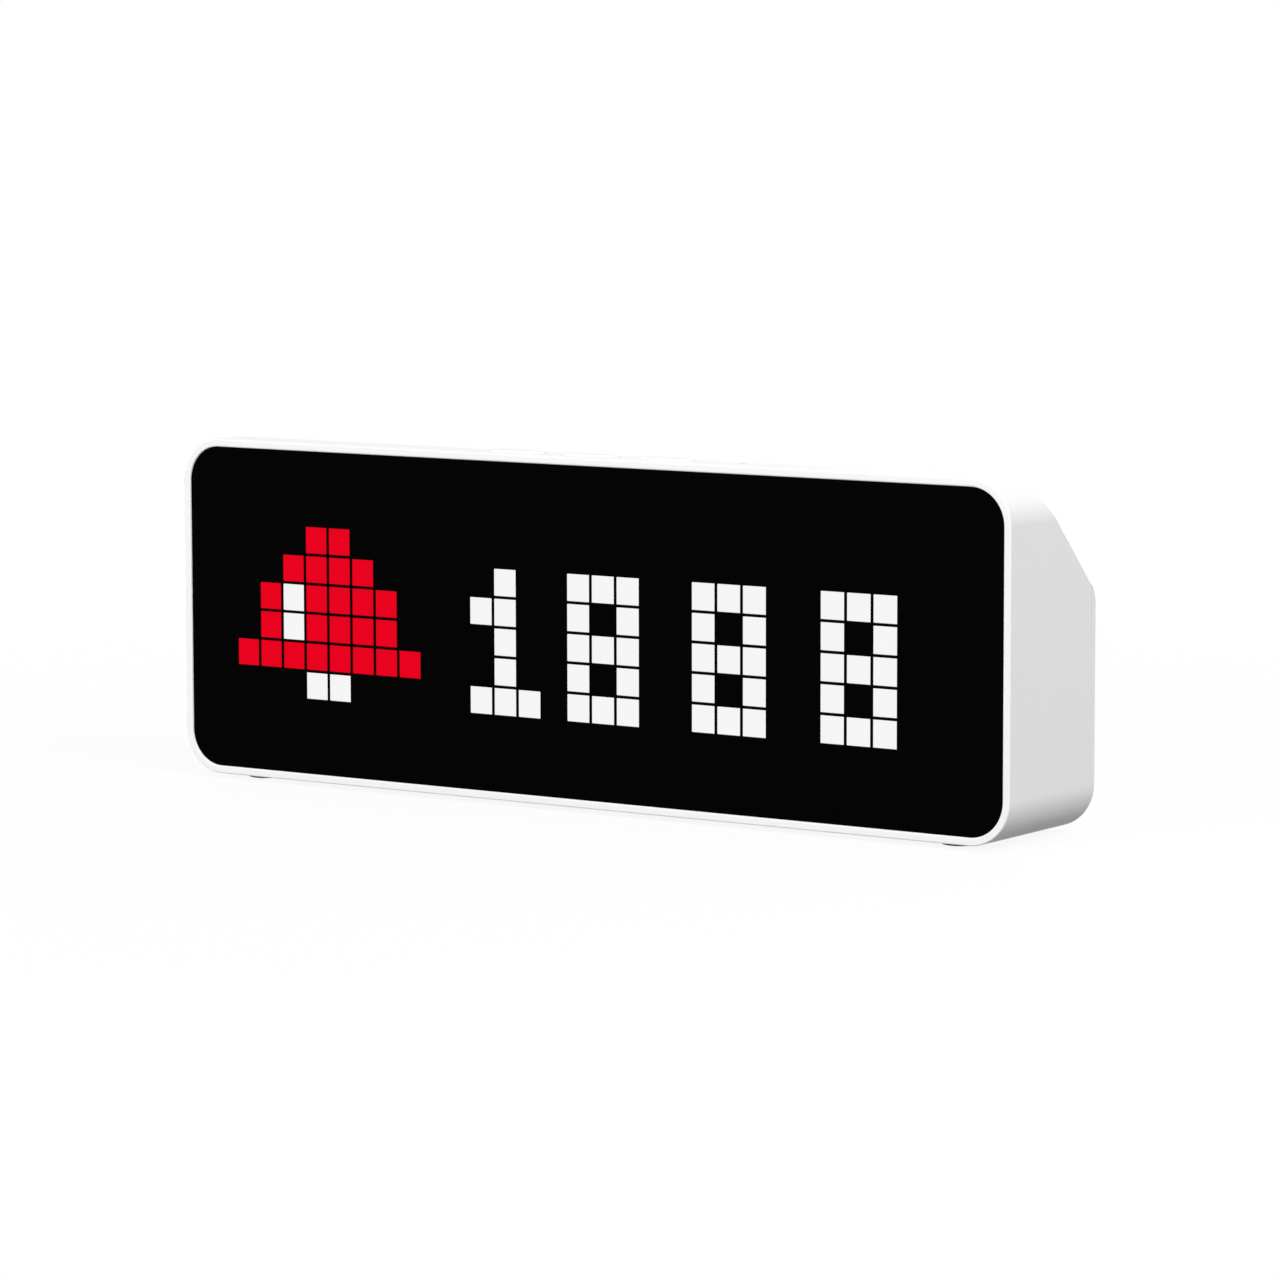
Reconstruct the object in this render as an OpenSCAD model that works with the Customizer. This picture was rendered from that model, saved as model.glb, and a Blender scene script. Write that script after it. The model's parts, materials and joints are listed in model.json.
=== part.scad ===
// Pixel clock: a white case with a sloped rear shoulder, a black display of
// 8 by 31 square pixels, three top buttons, a rear power button and a charging
// socket. Millimetres. X runs along the front, Y from front to back, Z up.
// The origin is on the table, under the middle of the case.

/* [Case] */
// Width of the case
body_w = 200.6; // [198:0.2:216]
// Height of the case without its feet
body_h = 70.3; // [69:0.1:80]
// Depth of the case from front rim to back
body_d = 32.5; // [32:0.1:40]
// Radius of the four corners seen from the front
corner_r = 9; // [7:0.1:12]
// Thickness of the case walls, which is also the front rim
wall = 1.6; // [1.4:0.1:2]
// Depth of the flat strip on top, in front of the slope
top_flat = 8.6; // [8.4:0.1:10]
// Angle of the rear slope to the table
slope = 45; // [42:1:48]
// Radius between the slope and the back
bend_r = 5; // [3:0.1:7]

/* [Rear cover] */
// Thickness of the rear cover
cover_t = 1.6; // [1.4:0.1:2.4]
// How far the cover's lip reaches into the case
lip_d = 2; // [1:0.1:3]
// Thickness of the lip
lip_t = 1.2; // [0.8:0.1:2]
// Diameter of the posts that carry the cover screws
cover_post = 6; // [5:0.1:8]
// Length of those posts
cover_post_l = 9; // [7:0.5:12]
// Height of the lower cover screws above the case bottom
cover_low = 12; // [10:0.5:16]
// Height of the upper cover screws above the case bottom
cover_high = 39; // [36:0.5:41]
// Number of air slots
vents = 6; // [3:1:8]
// Length of an air slot
vent_l = 9; // [6:0.5:12]
// Width of an air slot
vent_w = 1.4; // [1:0.1:2]
// Distance between air slots
vent_pitch = 3.6; // [3:0.1:4]
// Place of the air slots along the back
vent_x = 8; // [4:0.5:10]

/* [Display] */
// Thickness of the front panel
panel_t = 1.6; // [1.2:0.1:2]
// How far the panel lies behind the rim
panel_recess = 0.4; // [0.2:0.1:0.8]
// Dark edge left and right of the pixel grid
grid_edge = 5.7; // [4:0.1:7]
// Dark band above and below the pixel grid
grid_band = 9.35; // [9.2:0.05:12]
// Dark line between pixels
pixel_gap = 0.65; // [0.45:0.05:1.2]
// Sideways place of the pixel grid
grid_shift = 0.2; // [-2.5:0.1:2.5]
// Depth of the light grid's cells
grid_depth = 4; // [3:0.1:4.4]
// Thickness of the walls between cells
cell_wall = 1; // [0.8:0.1:1.4]
// Thickness of all circuit boards
board_t = 1.6; // [1.2:0.1:1.8]
// Width of the panel's resting rails and of the light board's edge strips
rail_w = 2; // [1.5:0.1:2.4]
// Side of a light
led_side = 3.5; // [2.8:0.1:3.6]
// Height of a light
led_h = 1.4; // [1:0.1:1.8]
// Width of the blocks that the light board is screwed to
block_w = 7; // [6:0.1:9]
// Distance of those blocks from the sides of the case
block_in = 25.3; // [20:0.1:32]
// Reach of those blocks past the pixel grid
tab_h = 5.5; // [5:0.1:6]

/* [Buttons] */
// Length of a top button
button_l = 12; // [9:0.5:13]
// Width of a top button
button_w = 3.8; // [3:0.1:4]
// How far a top button stands proud
button_proud = 0.4; // [0.2:0.1:0.8]
// Travel of every button
button_travel = 0.6; // [0.3:0.1:0.7]
// Distance between top buttons
button_pitch = 18; // [17:0.5:19]
// Place of the top buttons behind the front rim
button_d = 5.5; // [5.4:0.1:5.8]
// Length of the ears that hold a button in
ear_l = 1.2; // [0.8:0.1:1.4]
// Thickness of the ears
ear_t = 0.8; // [0.6:0.1:1]
// Diameter of the rear power button
power_dia = 6; // [5:0.1:7]
// Distance of the power button from the left board screws
power_in = 40; // [38:0.5:42]
// Diameter of the power button's stem
power_stem = 3; // [2.4:0.1:4]
// Length of a push switch
switch_l = 6; // [5:0.1:7]
// Width of a push switch
switch_w = 3.6; // [3:0.1:3.8]
// Height of a push switch
switch_h = 3; // [2.6:0.1:3.2]
// Diameter of a switch plunger
plunger_dia = 1.8; // [1.4:0.1:2.2]
// Length of plunger between switch and button
plunger_out = 1.1; // [1:0.1:1.4]
// Length of plunger inside the switch at rest
plunger_in = 1; // [0.6:0.1:1.2]
// Thickness of the button board
button_board_t = 1.2; // [1:0.1:1.4]
// Half length of the button board
button_board_half = 40; // [39:0.5:44]
// Width of the button board
button_board_w = 5.6; // [5:0.1:6]
// Diameter of the posts that carry the button board
button_post = 4.4; // [4:0.1:5]
// Place of those posts on each side of the middle
button_post_x = 30; // [29:0.5:32]
// Diameter of the light guide on top
guide_dia = 2; // [1.5:0.1:2.5]
// Place of the light guide along the top
guide_x = 36; // [35:0.5:37]
// Height of the light sensor
sensor_h = 0.8; // [0.6:0.1:1]

/* [Main board] */
// Width of the main board
main_w = 124; // [122:1:130]
// Height of the main board
main_h = 22; // [21:0.5:23]
// Height of the main board's lower edge above the case bottom
main_low = 24; // [24:0.5:25]
// Depth of the main board's front face behind the rim
main_d = 20; // [19.5:0.1:20.5]
// Diameter of the posts that carry the main board
main_post = 5; // [4.4:0.1:5.6]
// Distance of those posts from the board's edges
main_edge = 4; // [3.5:0.1:4.5]
// Height of the rear connectors above the board's lower edge
port_up = 8; // [7:0.5:10]
// Distance of the charging socket from the left board screws
port_in = 18; // [16:0.5:22]
// Width of the charging socket outside
port_w = 8.94; // [8.9:0.02:9]
// Height of the charging socket outside
port_h = 3.16; // [3.1:0.02:3.2]
// Wall of the charging socket
port_wall = 0.3; // [0.2:0.05:0.35]
// How far the socket's mouth lies inside the back
port_recess = 0.6; // [0.3:0.1:1]
// Thickness of the tongue in the socket
tongue_t = 0.7; // [0.5:0.05:0.8]
// Width of the tongue
tongue_w = 6.7; // [6:0.1:6.8]
// Length of the radio module
radio_l = 25.5; // [22:0.5:27]
// Width of the radio module
radio_w = 18; // [14:0.5:19]
// Height of the radio module's metal can
radio_can = 2.4; // [1.8:0.1:3]
// Side of a chip
chip_side = 4; // [3:0.1:5]
// Side of the temperature sensor
probe_side = 2.5; // [2:0.1:3]
// Gap between pieces that stand side by side on the board
part_gap = 2; // [1.5:0.1:3]
// Diameter of the sounder
sounder_dia = 9; // [8:0.5:10]
// Height of the sounder
sounder_h = 4; // [3:0.1:6]
// Diameter of the sounder's hole
sounder_hole = 2; // [1.5:0.1:3]
// Pins in the link between the boards
link_pins = 8; // [4:1:10]
// Distance between link pins
link_step = 2.54; // [2.4:0.02:2.6]
// Side of a link pin
link_pin = 0.64; // [0.5:0.02:0.8]
// Width of the link housings
link_w = 2.6; // [2.2:0.1:3]
// Height of the link's pin base
link_base = 2.5; // [2:0.1:3.5]
// Depth that the pins reach into their socket
link_in = 4; // [3:0.1:5]

/* [Battery] */
// Diameter of a cell
cell_dia = 18.2; // [17.8:0.1:18.4]
// Length of a cell
cell_l = 65; // [63:0.5:66]
// Thickness of the cell contacts
contact_t = 0.4; // [0.3:0.05:0.6]
// Thickness of the cradle's floor
cradle_floor = 1.2; // [0.8:0.1:1.4]
// Thickness of the cradle's ribs and end walls
cradle_rib = 2; // [1.5:0.1:3]
// Height of the cradle's ribs above its floor
rib_h = 7; // [5:0.5:8]
// Diameter of the battery wires
wire_dia = 1.2; // [1:0.1:1.3]
// Diameter of the button wires
thin_wire = 0.9; // [0.7:0.1:1]
// Length of the battery plug's housing
plug_l = 5.8; // [5:0.1:6.4]
// Depth of the battery plug's housing
plug_w = 3.3; // [3:0.1:3.6]
// Height of the battery plug's housing
plug_h = 6; // [5:0.1:6.4]
// Wall of the battery socket
plug_wall = 0.8; // [0.6:0.1:1]
// Place of the battery plug along the board
plug_x = 0; // [-2:0.5:1]

/* [Feet and screws] */
// How far the feet stand below the case
foot_h = 1; // [0.6:0.1:1.6]
// Diameter of a foot
foot_dia = 8; // [6:0.5:11]
// Depth of the pockets that the feet sit in
foot_pocket = 0.6; // [0.4:0.1:0.8]
// Distance of the feet from the sides of the case
foot_side = 15.3; // [15:0.1:20]
// Distance of the feet from the front rim and from the back
foot_in = 7.5; // [6.5:0.1:8.5]
// Diameter of every screw's shank
screw_dia = 2; // [1.8:0.1:2.2]
// Diameter of every screw's head
head_dia = 3.6; // [3.2:0.1:4]
// Height of every screw's head
head_h = 1; // [0.8:0.1:1.2]
// Length of every screw's shank
screw_l = 5; // [4:0.1:5.4]

/* [Clearances] */
// Gap between fixed pieces that fit together
fit = 0.05; // [0.03:0.01:0.1]
// Gap between panel and rim
panel_gap = 0.1; // [0.05:0.01:0.2]
// Gap round a button
button_gap = 0.25; // [0.2:0.01:0.3]
// Gap between a plunger and its switch
plunger_gap = 0.08; // [0.05:0.01:0.1]
// Gap between a button's ears and the wall that stops them
ear_gap = 0.1; // [0.05:0.01:0.2]
// Line left open between case and rear cover
seam = 0.1; // [0.05:0.01:0.2]

/* [Hidden] */
$fn = 48;

columns = 31;
rows = 8;
overlap = 0.4;
past = 1;

// Levels from front to back, as depths behind the rim
panel_back = panel_recess + panel_t;
grid_back = panel_back + grid_depth;
leds_front = grid_back - led_h;
light_board_back = grid_back + board_t;
main_back = main_d + board_t;
cover_in = body_d - cover_t;

// Insides of the case
inner_w = body_w - 2 * wall;
inner_h = body_h - 2 * wall;
inner_r = corner_r - wall;
top_in = body_h - wall;
mid_h = body_h / 2;

// Slope of the rear shoulder
slope_reach = sin(slope) * top_flat + cos(slope) * body_h;
bend_d = body_d - bend_r;
bend_h = (slope_reach - bend_r - sin(slope) * bend_d) / cos(slope);

// Display
grid_w = inner_w - 2 * grid_edge;
grid_h = inner_h - 2 * grid_band;
pitch = [grid_w / columns, grid_h / rows];
pixel_size = [for (side = pitch) side - pixel_gap];
window = [for (side = pixel_size) side + 2 * fit];
cell_open = [for (side = pitch) side - cell_wall];
block_x = body_w / 2 - block_in;
foot_x = body_w / 2 - foot_side;
screw_h = grid_h / 2 + tab_h / 2 + rail_w / 2;
block_low = grid_h / 2 + 2 * fit;

// Button levels above the case bottom
ear_top = top_in - ear_gap;
ear_low = ear_top - ear_t;
switch_top = ear_low - plunger_out;
switch_low = switch_top - switch_h;
button_board_low = switch_low - button_board_t;
plunger_hole = plunger_in + button_travel + button_gap;

// Main board levels
port_z = main_low + port_up;
main_mid = main_low + main_h / 2;
main_screw_x = main_w / 2 - main_edge;
main_screw_z = main_h / 2 - main_edge;
port_x = port_in - main_screw_x;
power_x = power_in - main_screw_x;
radio_x = main_screw_x - main_post / 2 - part_gap - radio_l / 2;
sounder_x = radio_x - radio_l / 2 - part_gap - sounder_dia / 2;
power_switch_top = main_back + switch_h;
power_stem_end = power_switch_top + plunger_out;
power_ear_back = cover_in - ear_gap;
link_z = main_low + main_h - link_w;
link_l = link_pins * link_step;
link_x = main_screw_x - main_post - link_l / 2;
link_base_front = main_d - link_base;
port_out = body_d - port_recess;

// Battery levels
cradle_top = wall + cradle_floor;
cell_z = cradle_top + cell_dia / 2 + fit;
cell_d = light_board_back + (cover_in - lip_d - light_board_back) / 2;
cell_x = cell_l / 2 + contact_t / 2;
cells_end = cell_l + contact_t / 2;
cradle_end = cells_end + contact_t;
plug_front = main_back + plug_wall + fit;
plug_mid = plug_front + plug_w / 2;
wire_z = main_low - 2 * wire_dia;
plug_low = main_low - wire_dia / 2;
socket_h = plug_h - (main_low - plug_low) + plug_wall;
wire_gap = plug_l / 4;

// Cover posts
cover_post_x = inner_w / 2 - cover_post / 2 + overlap;
screw_hole = screw_dia + 2 * fit;
head_hole = head_dia + 2 * fit;

// Pictures on the display, top row first: a bell and the digits 1 and 8
bell = ["...rr...", "..rrrr..", ".rwrrrr.", ".rwrrrr.", "rrrrrrrr", "...ww..."];
one = [".w.", "ww.", ".w.", ".w.", "www"];
eight = ["www", "w.w", "www", "w.w", "www"];

// Each picture with its first column and first row on the display
pictures = [[bell, 1, 1], [one, 11, 2], [eight, 15, 2], [eight, 20, 2], [eight, 25, 2]];

function in_picture(p, c, r) =
    r >= p[2] && r < p[2] + len(p[0]) && c >= p[1] && c < p[1] + len(p[0][0]);

// Letter of the pixel in one column and row: r red, w white, a dot for unlit
function pixel(c, r) =
    let (found = [for (p = pictures) if (in_picture(p, c, r)) p[0][r - p[2]][c - p[1]]])
    len(found) > 0 ? found[0] : ".";

function pixel_x(c) = grid_shift + (c - (columns - 1) / 2) * pitch[0];
function pixel_z(r) = ((rows - 1) / 2 - r) * pitch[1];

// Place on Y of a depth behind the front rim
function deep(d) = d - body_d / 2;

// Place on Z of a height above the case bottom
function up(h) = foot_h + h;

// Shared shapes

module round_rect(w, h, r) {
    square([w - 2 * r, h], center = true);
    square([w, h - 2 * r], center = true);
    for (sx = [-1, 1], sy = [-1, 1])
        translate([sx * (w / 2 - r), sy * (h / 2 - r)]) circle(r);
}

module pill(l, w) {
    square([l - w, w], center = true);
    for (s = [-1, 1]) translate([s * (l - w) / 2, 0]) circle(d = w);
}

// A flat outline seen from the front, given depth between d0 and d1
module slab(d0, d1) {
    translate([0, deep(d1), up(mid_h)]) rotate([90, 0, 0])
        linear_extrude(d1 - d0) children();
}

// A flat outline seen from the top, given height between h0 and h1
module layer(h0, h1) {
    translate([0, 0, up(h0)]) linear_extrude(h1 - h0) children();
}

// A box between two corners, as x, depth and height
module block(a, b) {
    translate([a[0], deep(a[1]), up(a[2])]) cube(b - a);
}

// A round bar from front to back
module rod_y(x, h, d0, d1, dia) {
    translate([x, deep(d1), up(h)]) rotate([90, 0, 0]) cylinder(d = dia, h = d1 - d0);
}

// A round bar that stands up
module rod_z(x, d, h0, h1, dia) {
    translate([x, deep(d), up(h0)]) cylinder(d = dia, h = h1 - h0);
}

// A round bar along the width
module rod_x(x0, x1, d, h, dia) {
    translate([x0, deep(d), up(h)]) rotate([0, 90, 0]) cylinder(d = dia, h = x1 - x0);
}

// The case seen from the side, set in by one gap along the slope and the back
module side_outline(gap) {
    r = bend_r - gap;
    top_d = (slope_reach - gap - cos(slope) * (body_h + past)) / sin(slope);
    polygon([[-past, -past], [-past, body_h + past], [top_d, body_h + past],
        [bend_d + r * sin(slope), bend_h + r * cos(slope)],
        [bend_d + r, bend_h], [bend_d + r, -past]]);
    translate([bend_d, bend_h]) circle(r);
}

module side_prism(gap) {
    translate([-body_w / 2 - past, deep(0), up(0)]) rotate([90, 0, 90])
        linear_extrude(body_w + 2 * past) side_outline(gap);
}

// A screw along +Z whose head rests on the plane z = 0, with a cross in its head
module screw() {
    cross_w = head_dia / 6;
    cross_l = head_dia * 0.6;
    difference() {
        translate([0, 0, -head_h]) cylinder(d = head_dia, h = head_h);
        for (a = [0, 90]) rotate(a)
            translate([-cross_l / 2, -cross_w / 2, -head_h - past])
                cube([cross_l, cross_w, past + head_h / 2]);
    }
    cylinder(d = screw_dia, h = screw_l);
}

// A screw driven from front to back, or from back to front, and one driven upwards
module screw_back(x, d, h) {
    translate([x, deep(d), up(h)]) rotate([-90, 0, 0]) screw();
}

module screw_forward(x, d, h) {
    translate([x, deep(d), up(h)]) rotate([90, 0, 0]) screw();
}

module screw_up(x, d, h) {
    translate([x, deep(d), up(h)]) screw();
}

module foot_places() {
    for (s = [-1, 1], d = [foot_in, body_d - foot_in])
        translate([s * foot_x, deep(d), 0]) children();
}

// Case

module cover_posts() {
    for (s = [-1, 1], h = [cover_low, cover_high])
        rod_y(s * cover_post_x, h, cover_in - seam - cover_post_l, cover_in - seam, cover_post);
}

module light_board_blocks() {
    for (sx = [-1, 1], sz = [-1, 1])
        slab(panel_back, grid_back)
            translate([sx * block_x - block_w / 2, sz > 0 ? block_low : -inner_h / 2 - overlap])
                square([block_w, inner_h / 2 + overlap - block_low]);
}

module panel_rails() {
    rail_l = inner_w - 2 * inner_r;
    for (s = [-1, 1])
        slab(panel_back, panel_back + rail_w / 2)
            translate([-rail_l / 2, s > 0 ? inner_h / 2 - rail_w : -inner_h / 2 - overlap])
                square([rail_l, rail_w + overlap]);
}

module main_shell() {
    color("white") difference() {
        union() {
            difference() {
                intersection() {
                    slab(0, cover_in - seam) round_rect(body_w, body_h, corner_r);
                    side_prism(0);
                }
                intersection() {
                    slab(-past, body_d) round_rect(inner_w, inner_h, inner_r);
                    side_prism(wall);
                }
            }
            cover_posts();
            light_board_blocks();
            panel_rails();
            for (s = [-1, 1])
                rod_z(s * button_post_x, button_d, switch_low, top_in + overlap, button_post);
        }
        for (s = [-1, 1], h = [cover_low, cover_high])
            rod_y(s * cover_post_x, h, cover_in - screw_l - past, body_d, screw_hole);
        for (sx = [-1, 1], sz = [-1, 1])
            rod_y(sx * block_x, mid_h + sz * screw_h, panel_back + fit, grid_back + past, screw_hole);
        for (s = [-1, 1])
            rod_z(s * button_post_x, button_d, switch_low - past, top_in - overlap, screw_hole);
        for (i = [-1:1])
            layer(top_in - past, body_h + past) translate([i * button_pitch, deep(button_d)])
                pill(button_l + 2 * button_gap, button_w + 2 * button_gap);
        rod_z(guide_x, button_d, top_in - past, body_h + past, guide_dia + 2 * fit);
        foot_places() translate([0, 0, up(-past)])
            cylinder(d = foot_dia + 2 * fit, h = foot_pocket + past);
    }
}

module cover_plate() {
    intersection() {
        slab(cover_in, body_d) round_rect(body_w, body_h, corner_r);
        side_prism(0);
    }
}

module cover_lip() {
    gap = wall + panel_gap;
    intersection() {
        slab(cover_in - lip_d, cover_in + overlap) difference() {
            round_rect(body_w - 2 * gap, body_h - 2 * gap, corner_r - gap);
            round_rect(body_w - 2 * gap - 2 * lip_t, body_h - 2 * gap - 2 * lip_t,
                corner_r - gap - lip_t);
        }
        block([-body_w, cover_in - lip_d - past, 0], [body_w, body_d, bend_h - wall]);
    }
}

// Room for a cover post where the lip passes it
module lip_notches() {
    room = cover_post + 2 * button_gap;
    for (s = [-1, 1], h = [cover_low, cover_high])
        block([s * inner_w / 2 - room, cover_in - lip_d - past, h - room / 2],
            [s * inner_w / 2 + room, cover_in, h + room / 2]);
}

module rear_cover() {
    color("white") difference() {
        union() {
            cover_plate();
            difference() {
                cover_lip();
                lip_notches();
            }
            for (sx = [-1, 1], sz = [-1, 1])
                rod_y(sx * main_screw_x, main_mid + sz * main_screw_z, main_back,
                    cover_in + overlap, main_post);
        }
        for (s = [-1, 1], h = [cover_low, cover_high]) {
            rod_y(s * cover_post_x, h, cover_in - past, body_d + past, screw_hole);
            rod_y(s * cover_post_x, h, body_d - head_h, body_d + past, head_hole);
        }
        for (sx = [-1, 1], sz = [-1, 1])
            rod_y(sx * main_screw_x, main_mid + sz * main_screw_z, main_back - past,
                main_d + screw_l + fit, screw_hole);
        rod_y(power_x, port_z, cover_in - past, body_d + past, power_dia + 2 * button_gap);
        slab(cover_in - past, body_d + past) translate([port_x, port_z - mid_h])
            pill(port_w + 2 * panel_gap, port_h + 2 * panel_gap);
        for (i = [0:vents - 1])
            slab(cover_in - past, body_d + past)
                translate([vent_x + (i - (vents - 1) / 2) * vent_pitch, port_z - mid_h])
                    rotate(90) pill(vent_l, vent_w);
    }
}

module cover_screws() {
    color("gainsboro") for (s = [-1, 1], h = [cover_low, cover_high])
        screw_forward(s * cover_post_x, body_d - head_h, h);
}

module rubber_feet() {
    color("dimgray") foot_places() cylinder(d = foot_dia, h = foot_h + foot_pocket);
}

// Display

module pixel_outlines(letter, size) {
    for (c = [0:columns - 1], r = [0:rows - 1])
        if (letter == "any" || pixel(c, r) == letter)
            translate([pixel_x(c), pixel_z(r)]) square(size, center = true);
}

module front_panel() {
    gap = wall + panel_gap;
    color("black") slab(panel_recess, panel_back) difference() {
        round_rect(body_w - 2 * gap, body_h - 2 * gap, corner_r - gap);
        pixel_outlines("any", window);
    }
}

module unlit_pixels() {
    color([0.05, 0.05, 0.05]) slab(panel_recess, panel_back) pixel_outlines(".", pixel_size);
}

module white_pixels() {
    color("white") slab(panel_recess, panel_back) pixel_outlines("w", pixel_size);
}

module red_pixels() {
    color("crimson") slab(panel_recess, panel_back) pixel_outlines("r", pixel_size);
}

module light_grid() {
    color([0.12, 0.12, 0.12]) slab(panel_back, grid_back) difference() {
        translate([grid_shift, 0]) square([grid_w, grid_h], center = true);
        pixel_outlines("any", cell_open);
    }
}

module led_board() {
    color("darkgreen") difference() {
        slab(grid_back, light_board_back) {
            translate([grid_shift, 0]) square([grid_w, grid_h + rail_w], center = true);
            for (s = [-1, 1]) translate([s * block_x, 0])
                square([2 * block_w, 2 * block_low + 2 * tab_h], center = true);
        }
        for (sx = [-1, 1], sz = [-1, 1])
            rod_y(sx * block_x, mid_h + sz * screw_h, grid_back - past, light_board_back + past,
                screw_hole);
    }
}

module leds() {
    color("ivory") slab(leds_front, grid_back) pixel_outlines("any", [led_side, led_side]);
}

module display_screws() {
    color("silver") for (sx = [-1, 1], sz = [-1, 1]) intersection() {
        screw_forward(sx * block_x, light_board_back, mid_h + sz * screw_h);
        slab(panel_back + 2 * fit, body_d) square([body_w, body_h], center = true);
    }
}

// Buttons

module top_button(x) {
    color("whitesmoke") {
        layer(ear_low, body_h + button_proud) translate([x, deep(button_d)]) pill(button_l, button_w);
        layer(ear_low, ear_top) translate([x, deep(button_d)])
            square([button_l + 2 * button_gap + 2 * ear_l, button_w / 2], center = true);
    }
}

module top_plunger(x) {
    color("black") rod_z(x, button_d, switch_top - plunger_in, ear_low, plunger_dia);
}

module left_button() {
    top_button(-button_pitch);
}

module middle_button() {
    top_button(0);
}

module right_button() {
    top_button(button_pitch);
}

module left_plunger() {
    top_plunger(-button_pitch);
}

module middle_plunger() {
    top_plunger(0);
}

module right_plunger() {
    top_plunger(button_pitch);
}

module push_switches() {
    color("darkslategray") for (i = [-1:1]) difference() {
        layer(switch_low, switch_top) translate([i * button_pitch, deep(button_d)])
            square([switch_l, switch_w], center = true);
        rod_z(i * button_pitch, button_d, switch_top - plunger_hole, switch_top + past,
            plunger_dia + 2 * plunger_gap);
    }
}

module button_board() {
    color("darkgreen") difference() {
        layer(button_board_low, switch_low) translate([0, deep(button_d)])
            square([2 * button_board_half, button_board_w], center = true);
        for (s = [-1, 1])
            rod_z(s * button_post_x, button_d, button_board_low - past, switch_low + past, screw_hole);
    }
}

module button_screws() {
    shown = top_in - overlap - button_board_low - 2 * fit;
    color("silver") for (s = [-1, 1]) intersection() {
        screw_up(s * button_post_x, button_d, button_board_low);
        block([-body_w, 0, 0], [body_w, body_d, button_board_low + shown]);
    }
}

// Four wires from the button board's rear edge down to the main board
module button_wires() {
    wire_d = button_d + button_board_w / 2 + thin_wire / 2;
    wire_low = main_low + main_h - main_edge;
    colours = ["red", "black", "gold", "royalblue"];
    for (i = [0:3]) {
        x = -button_post_x - (i + 1) * 2 * thin_wire;
        color(colours[i]) {
            rod_z(x, wire_d, wire_low, switch_low, thin_wire);
            translate([x, deep(wire_d), up(wire_low)]) sphere(d = 1.1 * thin_wire);
            rod_y(x, wire_low, wire_d, main_d, thin_wire);
        }
    }
}

module light_guide() {
    color("lightcyan") {
        rod_z(guide_x, button_d, switch_low + sensor_h + panel_gap, body_h, guide_dia);
        rod_z(guide_x, button_d, top_in - wall, top_in - fit, 1.5 * guide_dia);
    }
}

module light_sensor() {
    color("lightgray") layer(switch_low, switch_low + sensor_h) translate([guide_x, deep(button_d)])
        square(guide_dia, center = true);
}

module power_button() {
    color("whitesmoke") {
        rod_y(power_x, port_z, power_ear_back - ear_t, body_d - panel_gap, power_dia);
        rod_y(power_x, port_z, power_ear_back - ear_t, power_ear_back,
            power_dia + 2 * button_gap + 2 * ear_l);
        rod_y(power_x, port_z, power_stem_end, power_ear_back, power_stem);
    }
}

module power_plunger() {
    color("black")
        rod_y(power_x, port_z, power_switch_top - plunger_in, power_stem_end, plunger_dia);
}

module power_switch() {
    color("darkslategray") difference() {
        slab(main_back, power_switch_top) translate([power_x, port_z - mid_h])
            square([switch_l, switch_w], center = true);
        rod_y(power_x, port_z, power_switch_top - plunger_hole, power_switch_top + past,
            plunger_dia + 2 * plunger_gap);
    }
}

// Main board

module main_board() {
    color("darkgreen") difference() {
        slab(main_d, main_back) translate([0, main_mid - mid_h]) square([main_w, main_h], center = true);
        for (sx = [-1, 1], sz = [-1, 1])
            rod_y(sx * main_screw_x, main_mid + sz * main_screw_z, main_d - past, main_back + past,
                screw_hole);
    }
}

module board_screws() {
    color("silver") for (sx = [-1, 1], sz = [-1, 1])
        screw_back(sx * main_screw_x, main_d, main_mid + sz * main_screw_z);
}

module radio_module() {
    color("darkblue") slab(main_back, main_back + sensor_h)
        translate([radio_x, main_mid - mid_h]) square([radio_l, radio_w], center = true);
}

// The can covers the module apart from the strip that holds its aerial
module radio_can() {
    can_edge = radio_w / 18;
    aerial = radio_l / 4;
    color("silver") slab(main_back + sensor_h, main_back + sensor_h + radio_can)
        translate([radio_x - radio_l / 2 + can_edge, main_mid - mid_h - radio_w / 2 + can_edge])
            square([radio_l - can_edge - aerial, radio_w - 2 * can_edge]);
}

// A charger, a clock chip and a driver beside the charging socket
module board_chips() {
    color([0.1, 0.1, 0.1]) for (i = [0:2])
        slab(main_back, main_back + sensor_h)
            translate([port_x + (i - 1) * (chip_side + part_gap), main_low + main_h - chip_side - mid_h])
                square(chip_side, center = true);
}

module sounder() {
    color("black") difference() {
        rod_y(sounder_x, port_z, main_back, main_back + sounder_h, sounder_dia);
        rod_y(sounder_x, port_z, main_back + sounder_h / 2, main_back + sounder_h + past, sounder_hole);
    }
}

module temperature_sensor() {
    color("whitesmoke") slab(main_back, main_back + sensor_h)
        translate([vent_x, port_z - mid_h]) square(probe_side, center = true);
}

module usb_shell() {
    color("silver") {
        slab(main_back, port_out) translate([port_x, port_z - mid_h]) difference() {
            pill(port_w, port_h);
            pill(port_w - 2 * port_wall, port_h - 2 * port_wall);
        }
        slab(main_back, main_back + 3 * port_wall) translate([port_x, port_z - mid_h]) pill(port_w, port_h);
    }
}

module usb_tongue() {
    color([0.15, 0.15, 0.15]) slab(main_back + 3 * port_wall, port_out - 2 * port_wall)
        translate([port_x, port_z - mid_h]) square([tongue_w, tongue_t], center = true);
}

module link_places() {
    for (i = [0:link_pins - 1])
        translate([link_x + (i - (link_pins - 1) / 2) * link_step, link_z - mid_h]) children();
}

module link_header() {
    color([0.1, 0.1, 0.1]) slab(link_base_front, main_d) difference() {
        translate([link_x, link_z - mid_h]) square([link_l, link_w], center = true);
        link_places() square(link_pin + 2 * fit, center = true);
    }
}

module link_pins_row() {
    color("gold") slab(link_base_front - fit - link_in, main_d)
        link_places() square(link_pin, center = true);
}

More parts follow.
